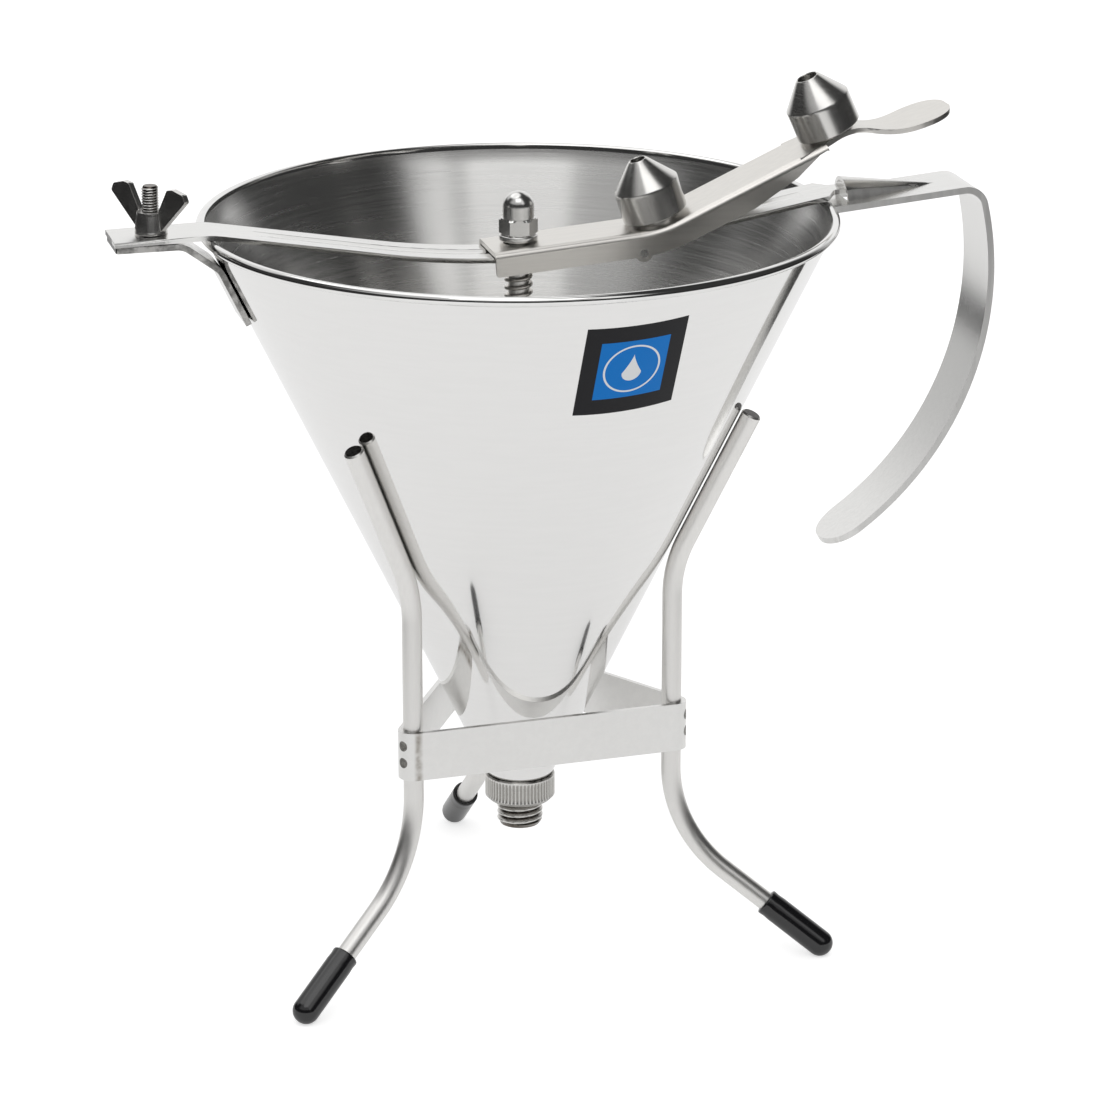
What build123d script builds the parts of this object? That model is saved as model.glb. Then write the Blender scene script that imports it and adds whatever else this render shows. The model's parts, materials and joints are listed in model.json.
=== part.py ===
from build123d import *
import os
from math import asin, atan, cos, pi, radians, sin, sqrt, tan

# Automatic piston funnel (batter dispenser) on a three-legged wire stand.
# Frame: Z up, table at Z = 0, funnel axis on Z, +X along the cross bar towards the handle.
# All sizes in millimetres.

os.makedirs("parts", exist_ok=True)

# ---- Driving dimensions -------------------------------------------------------------------------
# Bowl
rim_dia = 190.0          # over the rolled rim
rim_height = 228.5       # top of the rolled rim above the table
bead_dia = 2.9           # rolled rim
bead_sides = 12
bowl_wall = 1.0
spout_dia = 20.0         # outside of the cone at its lower end
spout_height = 53.2      # lower end of the cone above the table

# Outlet
collar_rise = 4.0        # length of the collar inside the cone
collar_bore = 10.0
seat_width = 2.2         # 45 degree valve seat
spigot_dia = 16.0
spigot_length = 5.3
ring_dia = 21.4          # hand-turned ring
ring_height = 8.4
ring_floor = 2.0         # below the socket
ring_sink = 0.2          # top of the ring, below the cone's end
ring_foot_chamfer = 1.2
ring_top_chamfer = 0.5
stub_dia = 14.0          # threaded stub, which takes a nozzle
stub_length = 8.2
stub_chamfer = 0.9
outlet_bore = 9.0
seal_thick = 1.2

# Cross bar, which lies over the rim; "past" and "inside" are measured from the rim's outside
bar_width = 17.0
bar_thick = 1.5
bar_past = 26.5          # left end
crown_inside = 2.0       # bend where the bar comes over the rim
bar_sag = 16.2           # of the two straight runs where they would meet, below the rim crossing
bar_bend_r = 247.0
crown_bend_r = 30.0
tongue_width = 7.0
tongue_tip_width = 4.0
tongue_taper = 3.0       # from the bar's full width to the tongue
tongue_past = 1.5
tongue_bend = 1.0        # from its start
tongue_length = 9.5
tongue_droop = 0.4
groove_width = 7.0
groove_depth = 0.5
groove_side = 0.8        # sloping sides of the pressing
groove_inside_left = 15.0
groove_inside_right = 7.0

# Clamp at the left end
bracket_thick = 1.8
bracket_past = 26.2
bracket_sink = 0.3       # top face, below the rim's top
bracket_flat_past = 6.5
bracket_touch_drop = 9.0
bracket_foot_drop = 25.8
bracket_bend_r = 6.0
corner_round = 0.8
end_flat = 0.4           # half the flat left at a strap's rounded end
stud_past = 14.5
stud_dia = 5.0
stud_height = 14.2       # above the bar
stud_chamfer = 0.6
wing_hub_dia = 9.6
wing_hub_top_dia = 8.2
wing_hub_height = 6.5
wing_span = 28.8
wing_height = 14.0
wing_thick = 2.0
wing_foot = 1.0          # lower edge, above the hub's foot
wing_corner_drop = 3.2   # outermost corner, below the top
wing_crest_in = 4.9      # highest point, from the outermost corner
wing_back_in = 7.0       # inner corner of the crest
wing_round = 0.9
wing_azimuth = -52.4

# Handle
handle_width = 22.0
handle_thick = 2.0
handle_root_drop = 2.1   # middle of the strap, below the rim's top
handle_slope = 4.9       # degrees, rising away from the rim
handle_arc_r = 94.5
handle_arc_inside = 44.9
handle_arc_drop = 25.3   # centre of the grip's arc, below the rim's top
handle_tip_angle = -61.5
handle_corner_r = 6.0
socket_past = 5.2
socket_run = 32.0
socket_mouth_r = 7.1
socket_wall = 1.2

# Lever
lever_width = 20.8
lever_thick = 1.5
lever_depth = 7.3
lever_fold_r = 2.0
lever_left = 9.5         # left end, beyond the funnel axis
low_slope = 4.38         # degrees, of the run under the cap nut
arm_slope = 24.06        # degrees, of the arm that holds the nozzles
knee_run = 5.4           # knee, from the pivot
knee_rise = 6.6          # top face at the knee, above the pivot
neck_past = 6.0
dip_run = 13.0           # from the neck to the spoon's dip
dip_drop = 1.6
tip_run = 18.8
tip_rise = 6.0
lever_knee_r = 40.0
lever_neck_r = 20.0
lever_dip_r = 26.0
flange_inside = 3.0      # end of the flanges
flange_taper = 22.0      # where they start to run out, before their end
flange_waist = 9.0
flange_waist_depth = 5.4
flange_toe = 2.2
flange_toe_depth = 1.9
corner_cut = 1.0         # off the flanges' left corners
spoon_lap = 8.0          # of the neck's strip into the channel's web
root_inset = 0.6         # of the neck's strip, from the channel's sides
neck_width = 11.0
neck_waist_past = 5.2    # narrowest place, beyond the neck's bend
spoon_width = 21.0
pivot_x = 35.8
pin_dia = 2.5
saddle_wall = 1.0
saddle_length = 12.0
ear_r = 2.7
ear_gap = 0.1            # inside the channel, over the ears' own radius

# Nozzles and their pegs
nozzle_dia = 19.6
nozzle_skirt = 9.6
nozzle_height = 17.5
nozzle_chamfer = 0.3
thread_lead = 0.5        # chamfer of the thread's mouth
tip_land = 2.2           # straight part of the orifice
small_tip_dia = 5.5
small_orifice = 4.5
large_tip_dia = 7.0
large_orifice = 6.0
peg_length = 8.0         # thread inside the nozzle
peg_root = 4.0           # below the nozzle's foot, before it is cut to the lever
peg_chamfer = 0.7
small_run = 0.8          # middle of the small nozzle's foot, from the knee
small_rise = 2.8
small_tilt = 18.8
large_run = 5.3          # middle of the large nozzle's foot, before the neck

# Piston
rod_dia = 6.0
nut_flats = 10.0
nut_hex_height = 5.0
nut_height = 13.0
nut_dome_dia = 9.4
nut_chamfer = 0.5        # off the hexagon's corners
nut_solid = 4.5          # of the dome, above the rod's end
washer_dia = 11.6
washer_thick = 1.7
washer_chamfer = 0.35
plug_dia = 12.8
plug_height = 4.4
plug_lift = 0.2          # off the seat
plug_skin = 1.5          # below the rod's end
plug_chamfer = 1.0
spring_dia = 8.6
spring_wire = 1.2
spring_pitch = 2.45
spring_turns = 17
spring_runs = 16         # straight runs to a turn
seat_dia = 10.0
seat_thick = 1.2
cross_pin_dia = 2.0
cross_pin_length = 10.0

# Stand
leg_dia = 6.0
leg_angles = {"left": -146.8, "right": -26.5, "rear": 89.0}
leg_top_drop = 56.9      # below the rim's top
waist_r = 47.05          # leg centres, at the band
splay_z = 38.0           # where the waist and the foot would meet
leg_top_bend_r = 40.0
leg_foot_bend_r = 40.0
foot_r = 93.8
foot_z = 3.9
leg_inset = 1.0          # end of the rod, back from the centre of the cap's round end
leg_chamfer = 0.5
cap_dia = 8.2
cap_length = 25.0
cap_chamfer = 0.5
cap_steps = 4            # flat bands of the cap's round end
band_height = 15.0
band_base_z = 64.7
band_thick = 1.5

# Clearances
run_gap = 0.05           # radial, shafts and threads that turn or slide
rest_gap = 0.3           # bowl on the legs
weld_gap = 0.05
slot_gap = 0.45          # rod in the lever's slot
slot_shift = -0.5        # middle of the slot, from the funnel axis
slot_travel = 1.2
rest_lift = 0.25         # bar on the rim, wing nut on the bar
washer_lift = 0.16       # cap nut's washer over the lever
nozzle_lift = 0.9        # large nozzle's foot above the arm
hole_gap = 0.25          # screw in the bar

# ---- Derived sizes ------------------------------------------------------------------------------
bead_r = bead_dia / 2
rim_r = rim_dia / 2 - bead_r
rim_z = rim_height - bead_r
spout_r = spout_dia / 2
cone_rate = (rim_r - spout_r) / (rim_z - spout_height)
cone_lean = atan(cone_rate)
rim_side = rim_dia / 2
wall_across = bowl_wall / cos(cone_lean)
rod_r = rod_dia / 2
leg_r = leg_dia / 2


def cone_r(z):
    """Outside radius of the cone at height z."""
    return spout_r + (z - spout_height) * cone_rate


def finish(builder, name):
    """Label a finished piece and write its STEP file."""
    builder.part.label = name
    export_step(builder.part, f"parts/{name}.step")


# ---- Bowl and outlet ----------------------------------------------------------------------------
with BuildPart() as funnel_bowl:
    with BuildSketch(Plane.XZ):
        with BuildLine():
            Polyline(
                (spout_r, spout_height),
                (rim_r, rim_z),
                (rim_r - wall_across, rim_z),
                (spout_r - wall_across, spout_height),
                close=True,
            )
        make_face()
        with Locations((rim_r, rim_z)):
            RegularPolygon(bead_r, bead_sides)
    revolve(axis=Axis.Z)
finish(funnel_bowl, "funnel_bowl")

collar_top = spout_height + collar_rise
spigot_base = spout_height - spigot_length
bore_r = collar_bore / 2

with BuildPart() as outlet_collar:
    with BuildSketch(Plane.XZ):
        with BuildLine():
            Polyline(
                (bore_r, spigot_base),
                (spigot_dia / 2, spigot_base),
                (spigot_dia / 2, spout_height),
                (spout_r - wall_across, spout_height),
                (cone_r(collar_top) - wall_across, collar_top),
                (bore_r + seat_width, collar_top),
                (bore_r, collar_top - seat_width),
                close=True,
            )
        make_face()
    revolve(axis=Axis.Z)
finish(outlet_collar, "outlet_collar")

ring_top = spout_height - ring_sink
ring_base = ring_top - ring_height
socket_floor = ring_base + ring_floor
stub_base = ring_base - stub_length
socket_r = spigot_dia / 2 + run_gap

with BuildPart() as outlet_coupling:
    with BuildSketch(Plane.XY.offset(ring_base)):
        Circle(ring_dia / 2)
    extrude(amount=ring_height)
    chamfer(edges().filter_by(GeomType.CIRCLE).sort_by(Axis.Z)[0], length=ring_foot_chamfer)
    chamfer(edges().filter_by(GeomType.CIRCLE).sort_by(Axis.Z)[-1], length=ring_top_chamfer)
    with BuildSketch(Plane.XY.offset(stub_base)):
        Circle(stub_dia / 2)
    extrude(amount=stub_length)
    chamfer(edges().filter_by(GeomType.CIRCLE).sort_by(Axis.Z)[0], length=stub_chamfer)
    with BuildSketch(Plane.XY.offset(socket_floor)):
        Circle(socket_r)
    extrude(amount=ring_height, mode=Mode.SUBTRACT)
    with BuildSketch(Plane.XY.offset(stub_base)):
        Circle(outlet_bore / 2)
    extrude(amount=stub_length + ring_height, mode=Mode.SUBTRACT)
finish(outlet_coupling, "outlet_coupling")

with BuildPart() as outlet_seal:
    with BuildSketch(Plane.XY.offset(socket_floor)):
        Circle(socket_r - run_gap * 2)
        Circle(outlet_bore / 2 + run_gap, mode=Mode.SUBTRACT)
    extrude(amount=seal_thick)
finish(outlet_seal, "outlet_seal")

# ---- Cross bar ----------------------------------------------------------------------------------
# Middle line of the strap: level over the bracket, over the rim, down to the bend and up again.
bar_reach = rim_side + bar_past
bar_crown = rim_side - crown_inside
tongue_start = rim_side + tongue_past
tongue_end = tongue_start + tongue_length
groove_left = rim_side - groove_inside_left
groove_right = rim_side - groove_inside_right
stud_x = rim_side + stud_past
bar_rest_z = rim_height + rest_lift + bar_thick / 2
bracket_top = rim_height - bracket_sink
bar_left_z = bracket_top + bar_thick / 2
bar_low_x = (rim_r - bar_crown) / 2
bar_low_z = bar_rest_z - bar_sag
bar_rate = bar_sag / (rim_r - bar_low_x)
tongue_bend_x = tongue_start + tongue_bend
tongue_z = bar_rest_z + bar_rate * (tongue_bend_x - rim_r)
bar_points = [
    (-bar_reach, bar_left_z),
    (-bar_crown, bar_rest_z),
    (bar_low_x, bar_low_z),
    (tongue_bend_x, tongue_z),
    (tongue_end, tongue_z - tongue_droop),
]
bar_radii = [crown_bend_r, bar_bend_r, crown_bend_r]


def bar_middle_z(x):
    """Height of the strap's middle line at x, on the bend or its two runs."""
    turn = atan(bar_rate)
    run = abs(x - bar_low_x)
    if run < bar_bend_r * sin(turn):
        return bar_low_z + bar_bend_r / cos(turn) - sqrt(bar_bend_r**2 - run**2)
    return bar_low_z + run * bar_rate


rod_hole_r = rod_r + run_gap * 2

with BuildPart() as cross_bar:
    with BuildSketch(Plane.XZ):
        with BuildLine():
            FilletPolyline(*bar_points, radius=bar_radii)
        trace(line_width=bar_thick)
    extrude(amount=bar_width / 2, both=True)
    # Pressed groove: a rib below and the hollow above, with round ends
    with BuildSketch(Plane.XZ.offset(-groove_width / 2)):
        with BuildLine():
            FilletPolyline(*[(x, z - groove_depth) for x, z in bar_points], radius=bar_radii)
        trace(line_width=bar_thick)
        with Locations(((groove_right - groove_left) / 2, bar_low_z)):
            Rectangle(groove_left + groove_right, bar_reach, mode=Mode.INTERSECT)
    extrude(amount=groove_width)
    with BuildSketch(Plane.XZ.offset(-groove_width / 2 + groove_side)):
        with BuildLine():
            FilletPolyline(*[(x, z + bar_thick - groove_depth) for x, z in bar_points], radius=bar_radii)
        trace(line_width=bar_thick)
        with Locations(((groove_right - groove_left) / 2, bar_low_z)):
            Rectangle(groove_left + groove_right - 2 * groove_side, bar_reach, mode=Mode.INTERSECT)
    extrude(amount=groove_width - 2 * groove_side, mode=Mode.SUBTRACT)
    # Plan: rounded left corners, shoulders and tongue at the right
    with BuildSketch(Plane.XY.offset(bar_low_z)):
        with BuildLine():
            Polyline(
                (-bar_reach - bar_width, -bar_width / 2),
                (tongue_start - tongue_taper, -bar_width / 2),
                (tongue_start, -tongue_width / 2),
                (tongue_end, -tongue_tip_width / 2),
                (tongue_end, tongue_tip_width / 2),
                (tongue_start, tongue_width / 2),
                (tongue_start - tongue_taper, bar_width / 2),
                (-bar_reach - bar_width, bar_width / 2),
                close=True,
            )
        make_face()
        fillet(vertices().group_by(Axis.X)[-2], radius=tongue_taper / 2)
        fillet(vertices().group_by(Axis.X)[-1], radius=tongue_tip_width / 2 - end_flat)
    extrude(amount=bar_reach, both=True, mode=Mode.INTERSECT)
    fillet(edges().filter_by(Axis.Z).sort_by(Axis.X)[0:2], radius=corner_round)
    with BuildSketch(Plane.XY.offset(bar_low_z)):
        Circle(rod_hole_r)
        with Locations((-stud_x, 0)):
            Circle(stud_dia / 2 + hole_gap)
    extrude(amount=bar_reach, both=True, mode=Mode.SUBTRACT)
finish(cross_bar, "cross_bar")

# ---- Bracket, stud and wing nut -----------------------------------------------------------------
bracket_mid = bracket_top - bracket_thick / 2
bracket_off = (bracket_thick / 2 + weld_gap) / cos(cone_lean)
bracket_touch_z = rim_height - bracket_touch_drop
bracket_foot_z = rim_height - bracket_foot_drop

with BuildPart() as bar_bracket:
    with BuildSketch(Plane.XZ):
        with BuildLine():
            FilletPolyline(
                (-rim_side - bracket_past, bracket_mid),
                (-rim_side - bracket_flat_past, bracket_mid),
                (-cone_r(bracket_touch_z) - bracket_off, bracket_touch_z),
                (-cone_r(bracket_foot_z) - bracket_off, bracket_foot_z),
                radius=bracket_bend_r,
            )
        trace(line_width=bracket_thick)
    extrude(amount=bar_width / 2, both=True)
    fillet(edges().filter_by(Axis.Z).sort_by(Axis.X)[0:2], radius=corner_round)
    with BuildSketch(Plane.XY.offset(bracket_mid)):
        with Locations((-stud_x, 0)):
            Circle(stud_dia / 2)
    extrude(amount=bracket_thick, both=True, mode=Mode.SUBTRACT)
finish(bar_bracket, "bar_bracket")

stud_base = bracket_top - bracket_thick
crown_rate = (bar_rest_z - bar_left_z) / (bar_reach - bar_crown)
bar_at_stud = bar_left_z + bar_thick / 2 + (bar_reach - stud_x) * crown_rate
stud_top = bar_at_stud + stud_height

with BuildPart() as clamp_stud:
    with BuildSketch(Plane.XY.offset(stud_base)):
        with Locations((-stud_x, 0)):
            Circle(stud_dia / 2)
    extrude(amount=stud_top - stud_base)
    chamfer(edges().filter_by(GeomType.CIRCLE).sort_by(Axis.Z)[-1], length=stud_chamfer)
finish(clamp_stud, "clamp_stud")

nut_base = bar_at_stud + rest_lift
wing_plane = Plane(
    origin=(-stud_x, 0, nut_base),
    x_dir=(cos(radians(wing_azimuth)), sin(radians(wing_azimuth)), 0),
    z_dir=(sin(radians(wing_azimuth)), -cos(radians(wing_azimuth)), 0),
)
wing_r = wing_span / 2

with BuildPart() as wing_nut:
    with BuildSketch(wing_plane):
        with BuildLine():
            Polyline(
                (stud_dia / 2 + wing_foot / 2, wing_foot),
                (wing_hub_dia / 2, wing_foot),
                (wing_r, wing_height - wing_corner_drop),
                (wing_r - wing_foot, wing_height - wing_foot),
                (wing_r - wing_crest_in, wing_height),
                (wing_r - wing_back_in, wing_height - wing_foot / 3),
                (stud_dia / 2 + wing_foot, wing_hub_height - wing_foot / 3),
                close=True,
            )
        make_face()
        fillet(vertices().sort_by(Axis.Y)[-4:], radius=wing_round)
        mirror(about=Plane.YZ)
    extrude(amount=wing_thick / 2, both=True)
    with BuildSketch(Plane(origin=(-stud_x, 0, nut_base))):
        Circle(wing_hub_dia / 2)
    with BuildSketch(Plane(origin=(-stud_x, 0, nut_base + wing_hub_height))):
        Circle(wing_hub_top_dia / 2)
    loft()
    with BuildSketch(Plane(origin=(-stud_x, 0, nut_base))):
        Circle(stud_dia / 2 + run_gap)
    extrude(amount=wing_height, mode=Mode.SUBTRACT)
finish(wing_nut, "wing_nut")

# ---- Handle -------------------------------------------------------------------------------------
slope = radians(handle_slope)
handle_root_z = rim_height - handle_root_drop
handle_arc_x = rim_side - handle_arc_inside
handle_arc_z = rim_height - handle_arc_drop
socket_start = rim_side + socket_past


def strap_z(x):
    """Middle of the handle strap's upper run at x."""
    return handle_root_z + (x - rim_side) * tan(slope)


# Angles about the arc's centre where the upper run meets it and where the strap ends
run_above = (strap_z(handle_arc_x) - handle_arc_z) * cos(slope)
corner_angle = slope + asin(run_above / handle_arc_r)
tip_angle = radians(handle_tip_angle)


def arc_point(angle):
    """Point on the middle line of the grip."""
    return (handle_arc_x + handle_arc_r * cos(angle), handle_arc_z + handle_arc_r * sin(angle))


socket_inner_r = socket_mouth_r - socket_wall
socket_plane = Plane(
    origin=(socket_start, 0, strap_z(socket_start)),
    x_dir=(cos(slope), 0, sin(slope)),
    z_dir=(-sin(slope), 0, cos(slope)),
)
socket_length = socket_run / cos(slope)

with BuildPart() as handle_strap:
    with BuildSketch(Plane.XZ):
        with BuildLine() as strap_line:
            Line((rim_r, strap_z(rim_r)), arc_point(corner_angle))
            ThreePointArc(
                arc_point(corner_angle),
                arc_point((corner_angle + tip_angle) / 2),
                arc_point(tip_angle),
            )
            fillet(strap_line.vertices().sort_by(Axis.X)[-1], radius=handle_corner_r)
        trace(line_width=handle_thick)
    extrude(amount=handle_width / 2, both=True)
    # Half-cone socket pressed up out of the strap
    with BuildSketch(socket_plane):
        with BuildLine():
            Polyline((0, 0), (socket_length, 0), (0, socket_inner_r), close=True)
        make_face()
    revolve(axis=Axis(socket_plane.origin, socket_plane.x_dir), mode=Mode.SUBTRACT)
    with BuildSketch(socket_plane):
        with BuildLine():
            Polyline(
                (0, socket_inner_r),
                (socket_length, 0),
                (socket_length + handle_thick, 0),
                (0, socket_mouth_r),
                close=True,
            )
        make_face()
    revolve(axis=Axis(socket_plane.origin, socket_plane.x_dir), revolution_arc=180)
    # The root follows the rim
    with BuildSketch(Plane.XY.offset(handle_root_z)):
        Circle(rim_side + weld_gap)
    extrude(amount=handle_width, both=True, mode=Mode.SUBTRACT)
    tip_edges = edges().filter_by(lambda e: abs(e.length - handle_thick) < 0.05).sort_by(Axis.Z)[0:2]
    fillet(tip_edges, radius=handle_width / 2 - end_flat)
finish(handle_strap, "handle_strap")

# ---- Pivot --------------------------------------------------------------------------------------
bar_half = bar_thick / 2 / cos(atan(bar_rate))


def rib_z(x):
    """Underside of the pressed groove at x."""
    return bar_middle_z(x) - bar_half - groove_depth


rib_base = rib_z(pivot_x)
pivot_z = rib_base - pin_dia / 2 - run_gap - weld_gap
saddle_r = pin_dia / 2 + run_gap + saddle_wall

with BuildPart() as pivot_saddle:
    with BuildSketch(Plane.XZ.offset(-saddle_length / 2)):
        with Locations((pivot_x, pivot_z)):
            Circle(saddle_r)
        with Locations((pivot_x, pivot_z + saddle_r / 2)):
            Rectangle(2 * saddle_r, saddle_r)
        with Locations((pivot_x, pivot_z)):
            Circle(pin_dia / 2 + run_gap, mode=Mode.SUBTRACT)
        with BuildLine():
            left, right = pivot_x - saddle_r, pivot_x + saddle_r
            Polyline(
                (left, rib_z(left) - weld_gap),
                (right, rib_z(right) - weld_gap),
                (right, rib_z(right) + saddle_r),
                (left, rib_z(right) + saddle_r),
                close=True,
            )
        make_face(mode=Mode.SUBTRACT)
    extrude(amount=saddle_length)
finish(pivot_saddle, "pivot_saddle")

with BuildPart() as pivot_pin:
    with BuildSketch(Plane.XZ.offset(-lever_width / 2)):
        with Locations((pivot_x, pivot_z)):
            Circle(pin_dia / 2)
    extrude(amount=lever_width)
finish(pivot_pin, "pivot_pin")

# ---- Lever --------------------------------------------------------------------------------------
half_thick = lever_thick / 2
low_angle = radians(low_slope)
arm_angle = radians(arm_slope)
knee_x = pivot_x + knee_run
knee_top = pivot_z + knee_rise
flange_end = rim_side - flange_inside


def low_top(x):
    """Top of the web at x on the run under the cap nut."""
    return knee_top + (x - knee_x) * tan(low_angle)


def arm_top(x):
    """Top of the web at x on the arm."""
    return knee_top + (x - knee_x) * tan(arm_angle)


neck_x = rim_side + neck_past
dip_x = neck_x + dip_run
dip_z = arm_top(neck_x) - dip_drop
lever_left_z = low_top(-lever_left)
channel_start = Plane(
    origin=(-lever_left, 0, lever_left_z),
    x_dir=(0, 1, 0),
    z_dir=(cos(low_angle), 0, sin(low_angle)),
)
spoon_start = flange_end - spoon_lap
# Top face of the channel's web, and middle line of the neck and thumb spoon
channel_top = [
    (-lever_left, lever_left_z),
    (knee_x, knee_top),
    (flange_end, arm_top(flange_end)),
]
spoon_middle = [
    (spoon_start, arm_top(spoon_start) - half_thick / cos(arm_angle)),
    (neck_x, arm_top(neck_x) - half_thick / cos(arm_angle)),
    (dip_x, dip_z - half_thick),
    (dip_x + tip_run, dip_z + tip_rise - half_thick),
]
tip_x = dip_x + tip_run
spoon_radii = [lever_neck_r, lever_dip_r]
strip_width = lever_width - 2 * root_inset

with BuildPart() as lever_channel:
    # Thumb spoon and neck
    with BuildSketch(Plane.XZ):
        with BuildLine():
            FilletPolyline(*spoon_middle, radius=spoon_radii)
        trace(line_width=lever_thick)
    extrude(amount=spoon_width / 2, both=True)
    with BuildSketch(Plane.XY.offset(dip_z)):
        with BuildLine() as leaf:
            Spline(
                (spoon_start, strip_width / 2),
                (neck_x + neck_waist_past, neck_width / 2),
                (tip_x - spoon_width / 2, spoon_width / 2),
                (tip_x, 0),
                tangents=[(1, -0.1), (0, -1)],
            )
            mirror(leaf.line, about=Plane.XZ)
            Line((spoon_start, strip_width / 2), (spoon_start, -strip_width / 2))
        make_face()
    extrude(amount=rim_side, both=True, mode=Mode.INTERSECT)
    # Folded channel
    with BuildLine(Plane.XZ) as channel_path:
        FilletPolyline(*channel_top, radius=lever_knee_r)
    with BuildSketch(channel_start):
        with Locations((0, -lever_depth / 2)):
            Rectangle(lever_width, lever_depth)
        fillet(vertices().group_by(Axis.Y)[-1], radius=lever_fold_r)
        with Locations((0, -lever_depth / 2 - lever_thick)):
            Rectangle(lever_width - 2 * lever_thick, lever_depth, mode=Mode.SUBTRACT)
    sweep(path=channel_path.line)
    # Flanges run out towards the neck, and their left corners are cut back
    with BuildSketch(Plane.XZ):
        with BuildLine():
            taper_x = flange_end - flange_taper
            waist_x = flange_end - flange_waist
            toe_x = flange_end - flange_toe
            web_under = arm_top(flange_end) - (lever_thick + weld_gap) / cos(arm_angle)
            Polyline(
                (taper_x, arm_top(taper_x) - lever_depth / cos(arm_angle)),
                (waist_x, arm_top(waist_x) - flange_waist_depth),
                (toe_x, arm_top(toe_x) - flange_toe_depth),
                (flange_end, web_under),
                (flange_end + lever_depth, web_under),
                (flange_end + lever_depth, arm_top(taper_x) - 3 * lever_depth),
                (taper_x, arm_top(taper_x) - 3 * lever_depth),
                close=True,
            )
        make_face()
        with BuildLine():
            corner_z = lever_left_z - lever_depth
            Polyline(
                (-lever_left - corner_cut, corner_z + 2 * corner_cut),
                (-lever_left + 2 * corner_cut, corner_z - corner_cut),
                (-lever_left - corner_cut, corner_z - corner_cut),
                close=True,
            )
        make_face()
    extrude(amount=lever_width, both=True, mode=Mode.SUBTRACT)
    # Ears round the pin
    with BuildSketch(Plane.XZ):
        with Locations((pivot_x, pivot_z)):
            Circle(ear_r)
    extrude(amount=lever_width / 2, both=True)
    with BuildSketch(Plane.XZ):
        with Locations((pivot_x, pivot_z)):
            Circle(ear_r + ear_gap)
    extrude(amount=lever_width / 2 - lever_thick, both=True, mode=Mode.SUBTRACT)
    with BuildSketch(Plane.XZ):
        with Locations((pivot_x, pivot_z)):
            Circle(pin_dia / 2)
    extrude(amount=lever_width, both=True, mode=Mode.SUBTRACT)
    # Slot for the rod: the lever swings while the rod stays upright
    with BuildSketch(Plane.XY.offset(low_top(0))):
        with Locations((slot_shift, 0)):
            SlotCenterToCenter(slot_travel, 2 * (rod_r + slot_gap))
    extrude(amount=lever_depth, both=True, mode=Mode.SUBTRACT)
finish(lever_channel, "lever_channel")


# ---- Nozzles and pegs ---------------------------------------------------------------------------
def tilted(x, z, tilt):
    """Plane at a nozzle's foot, with its normal along the nozzle's axis."""
    t = radians(tilt)
    return Plane(origin=(x, 0, z), x_dir=(cos(t), 0, sin(t)), z_dir=(-sin(t), 0, cos(t)))


thread_r = stub_dia / 2 - run_gap


def peg(place):
    """Threaded peg, welded to the lever's top face, which it follows below."""
    with BuildPart() as built:
        with BuildSketch(place.offset(-peg_root)):
            Circle(thread_r)
        extrude(amount=peg_root + peg_length)
        chamfer(built.edges().filter_by(GeomType.CIRCLE).sort_by(Axis.Z)[-1], length=peg_chamfer)
        with BuildSketch(Plane.XZ):
            with BuildLine() as channel_under:
                FilletPolyline(*channel_top, radius=lever_knee_r)
                end, start = channel_under.line @ 1, channel_under.line @ 0
                Polyline(end, (end.X, bar_low_z), (start.X, bar_low_z), start)
            make_face()
            with BuildLine() as spoon_under:
                FilletPolyline(*spoon_middle, radius=spoon_radii)
                end, start = spoon_under.line @ 1, spoon_under.line @ 0
                Polyline(end, (end.X, bar_low_z), (start.X, bar_low_z), start)
            make_face()
            with BuildLine():
                FilletPolyline(*spoon_middle, radius=spoon_radii)
            trace(line_width=lever_thick)
        extrude(amount=lever_width, both=True, mode=Mode.SUBTRACT)
    return built


def nozzle(place, tip_dia, orifice):
    """Turned nozzle: skirt with the thread, cone and orifice."""
    skirt_r = nozzle_dia / 2
    bore = stub_dia / 2
    with BuildPart() as built:
        with BuildSketch(Plane(place.origin, x_dir=place.x_dir, z_dir=-place.y_dir)):
            with BuildLine():
                Polyline(
                    (bore + thread_lead, 0),
                    (skirt_r - nozzle_chamfer, 0),
                    (skirt_r, nozzle_chamfer),
                    (skirt_r, nozzle_skirt),
                    (tip_dia / 2, nozzle_height),
                    (orifice / 2, nozzle_height),
                    (orifice / 2, nozzle_height - tip_land),
                    (bore, nozzle_skirt - thread_lead),
                    (bore, thread_lead),
                    close=True,
                )
            make_face()
        revolve(axis=Axis(place.origin, place.z_dir))
    return built


large_x = neck_x - large_run
small_place = tilted(knee_x + small_run, knee_top + small_rise, small_tilt)
large_place = tilted(large_x, arm_top(large_x) + nozzle_lift / cos(arm_angle), arm_slope)

nozzle_peg_small = peg(small_place)
finish(nozzle_peg_small, "nozzle_peg_small")
nozzle_peg_large = peg(large_place)
finish(nozzle_peg_large, "nozzle_peg_large")
nozzle_small = nozzle(small_place, small_tip_dia, small_orifice)
finish(nozzle_small, "nozzle_small")
nozzle_large = nozzle(large_place, large_tip_dia, large_orifice)
finish(nozzle_large, "nozzle_large")

# ---- Piston -------------------------------------------------------------------------------------
washer_base_z = low_top(washer_dia / 2) + washer_lift
nut_z = washer_base_z + washer_thick
rod_top = nut_z + nut_height - nut_solid
plug_r = plug_dia / 2
plug_shoulder = collar_top - seat_width - bore_r + plug_r + plug_lift
plug_top = plug_shoulder + plug_height
plug_base = plug_shoulder - (plug_r - rod_r)
rod_base = plug_base + plug_skin
spring_top = rib_z(0) - weld_gap
spring_base = spring_top - spring_pitch * spring_turns - spring_wire
pin_z = spring_base - seat_thick - cross_pin_dia / 2

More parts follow.
